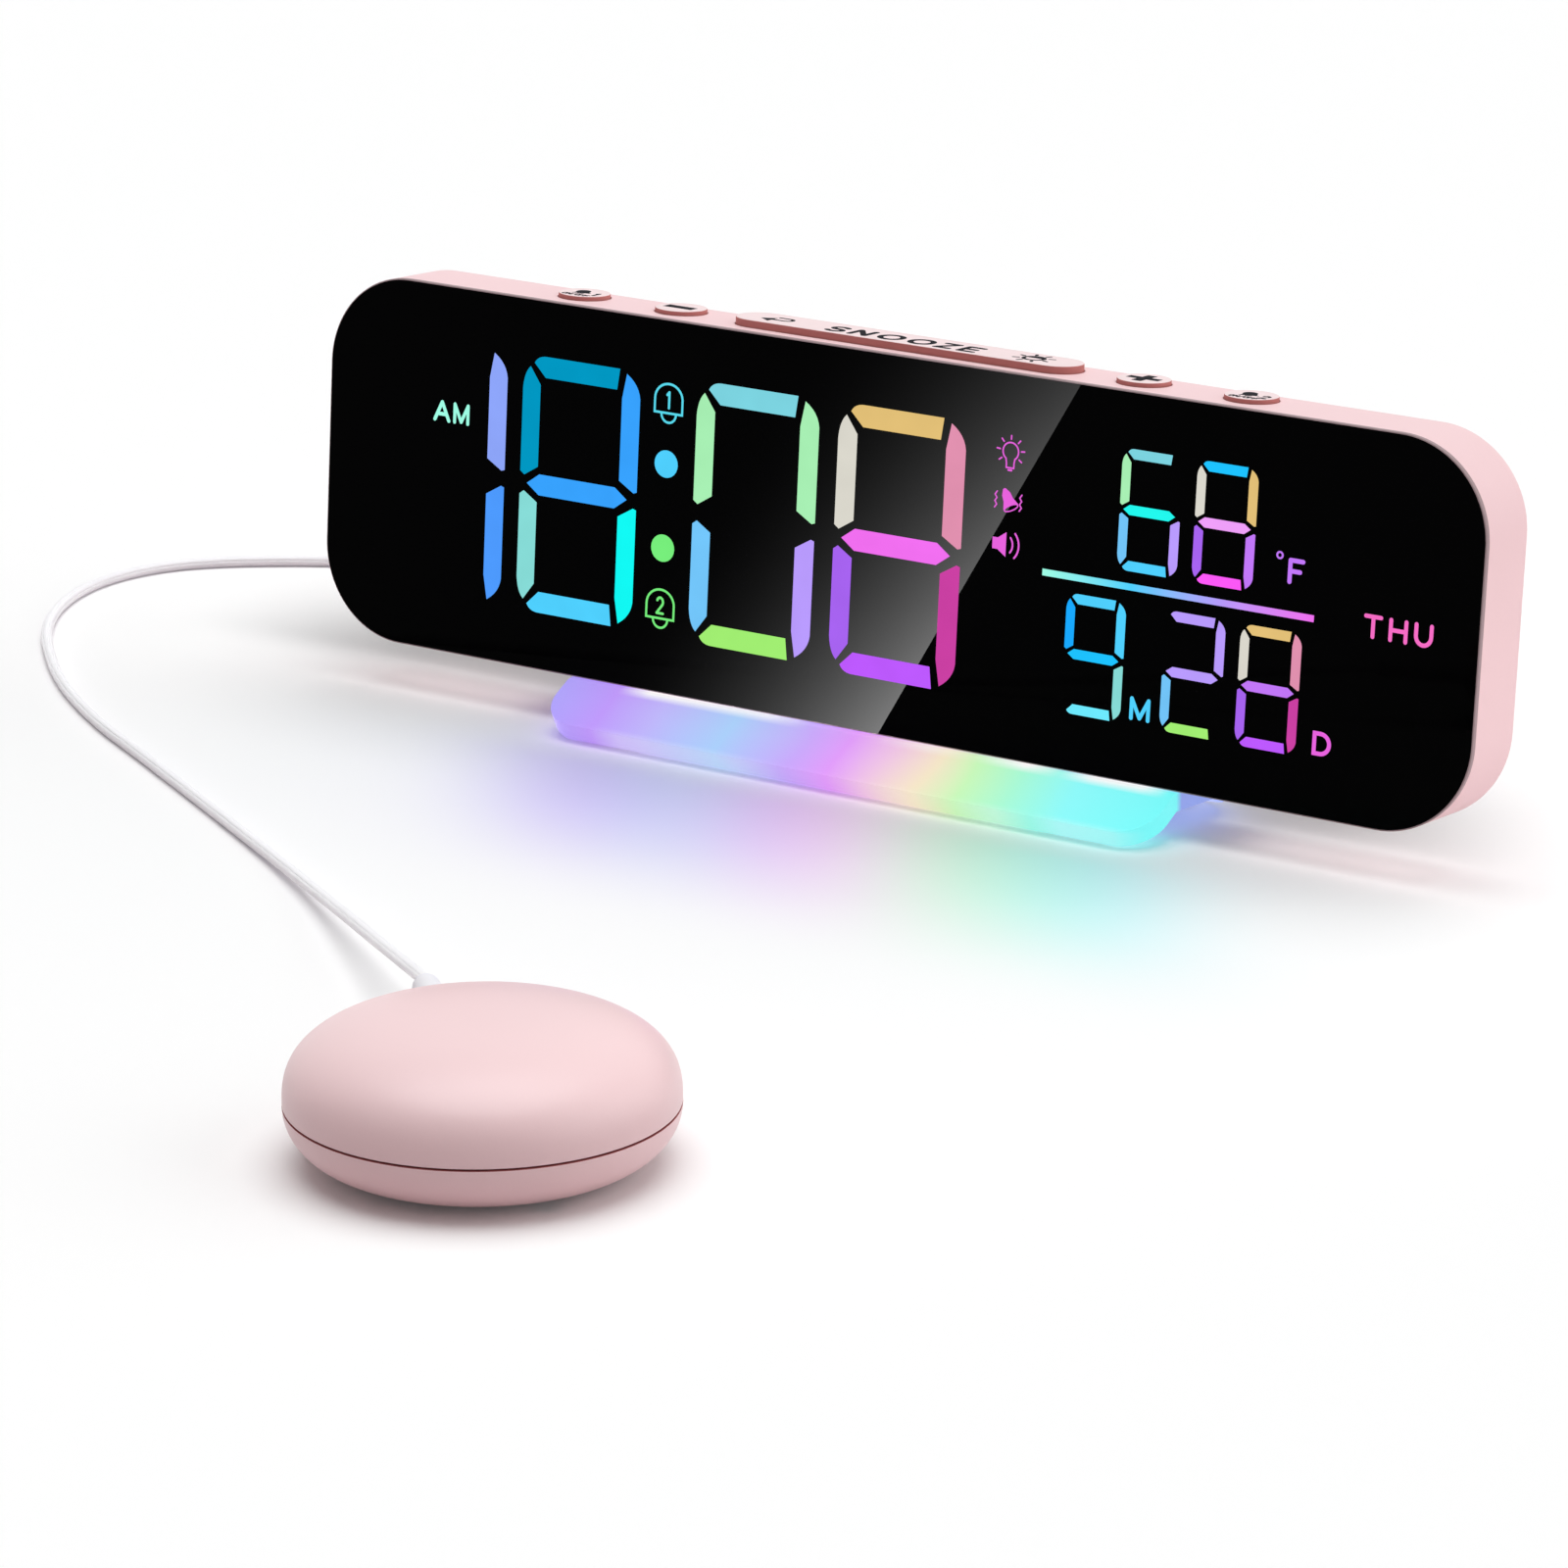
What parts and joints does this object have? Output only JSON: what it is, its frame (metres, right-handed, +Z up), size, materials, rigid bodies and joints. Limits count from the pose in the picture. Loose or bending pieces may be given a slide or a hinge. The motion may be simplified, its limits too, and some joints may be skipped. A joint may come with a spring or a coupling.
{
  "type": "vibrating alarm clock",
  "caption": "Wide slim digital alarm clock with a lit segment display and top buttons, standing on a bent glowing base, with a round bed-shaker puck on a lead.",
  "frame": {"origin": "on the table, in the middle of the footprint of clock and shaker puck, without the lead", "axes": "+Z up, +Y from the shaker puck towards the clock's back, +X to the right of someone facing the display"},
  "size_m": [0.3378, 0.3118, 0.0839],
  "materials": {
    "black_lens": "polished black acrylic, dark enough to hide unlit segments",
    "milky_film": "milky diffusing sheet",
    "white_inner_plastic": "plain white moulding",
    "circuit_board": "green solder mask",
    "black_component": "black moulded component",
    "pink_housing": "satin pale pink moulding",
    "pink_button": "satin pale pink cap with dark printed legends",
    "steel": "plated steel",
    "glow_acrylic": "translucent acrylic lit from inside in changing colours",
    "rubber_pad": "matt rubber",
    "pink_shaker": "smooth satin pale pink shell",
    "brass_weight": "turned brass",
    "white_lead": "soft white twin-wire lead and mouldings"
  },
  "bodies": {
    "clock_and_shaker": {"front_lens": "black_lens", "segment_film": "milky_film", "segment_frame": "white_inner_plastic", "display_board": "circuit_board", "controller_chip": "black_component", "temperature_sensor": "black_component", "housing": "pink_housing", "rear_cover": "pink_housing", "rear_screw_1": "steel", "rear_screw_2": "steel", "rear_screw_3": "steel", "rear_screw_4": "steel", "speaker": "black_component", "coin_cell": "steel", "coin_cell_holder": "black_component", "battery_door": "pink_housing", "battery_door_screw": "steel", "usb_inlet": "steel", "shaker_jack": "black_component", "alarm_1_switch": "black_component", "minus_switch": "black_component", "snooze_switch": "black_component", "plus_switch": "black_component", "alarm_2_switch": "black_component", "key_board": "circuit_board", "light_base": "glow_acrylic", "glow_strip": "white_inner_plastic", "base_screw_1": "steel", "base_screw_2": "steel", "base_foot_1": "rubber_pad", "base_foot_2": "rubber_pad", "base_foot_3": "rubber_pad", "base_foot_4": "rubber_pad", "shaker_top_shell": "pink_shaker", "shaker_bottom_shell": "pink_shaker", "shaker_foot": "rubber_pad", "shaker_motor": "steel", "motor_cradle": "white_inner_plastic", "motor_clamp": "steel", "motor_screw_1": "steel", "motor_screw_2": "steel", "shell_screw_1": "steel", "shell_screw_2": "steel", "shell_screw_3": "steel", "shaker_boot": "white_lead", "shaker_cord": "white_lead", "shaker_plug": "white_lead", "shaker_plug_pin": "brass_weight"},
    "alarm_1_key": {"alarm_1_button": "pink_button"},
    "minus_key": {"minus_button": "pink_button"},
    "snooze_key": {"snooze_button": "pink_button"},
    "plus_key": {"plus_button": "pink_button"},
    "alarm_2_key": {"alarm_2_button": "pink_button"},
    "rotor": {"motor_shaft": "steel", "eccentric_weight": "brass_weight"}
  },
  "joints": [
    {"name": "alarm_1_press", "type": "slide", "parent": "clock_and_shaker", "child": "alarm_1_key", "axis": [0, -0.0797, -0.9968], "range_m": [0, 0.0005], "stiffness_N_per_m": 3000},
    {"name": "minus_press", "type": "slide", "parent": "clock_and_shaker", "child": "minus_key", "axis": [0, -0.0797, -0.9968], "range_m": [0, 0.0005], "stiffness_N_per_m": 3000},
    {"name": "snooze_press", "type": "slide", "parent": "clock_and_shaker", "child": "snooze_key", "axis": [0, -0.0797, -0.9968], "range_m": [0, 0.0005], "stiffness_N_per_m": 3000},
    {"name": "plus_press", "type": "slide", "parent": "clock_and_shaker", "child": "plus_key", "axis": [0, -0.0797, -0.9968], "range_m": [0, 0.0005], "stiffness_N_per_m": 3000},
    {"name": "alarm_2_press", "type": "slide", "parent": "clock_and_shaker", "child": "alarm_2_key", "axis": [0, -0.0797, -0.9968], "range_m": [0, 0.0005], "stiffness_N_per_m": 3000},
    {"name": "rotor_spin", "type": "hinge", "parent": "clock_and_shaker", "child": "rotor", "pos_m": [0.0735, -0.09915, 0.0119], "axis": [1, 0, 0], "continuous": true}
  ]
}
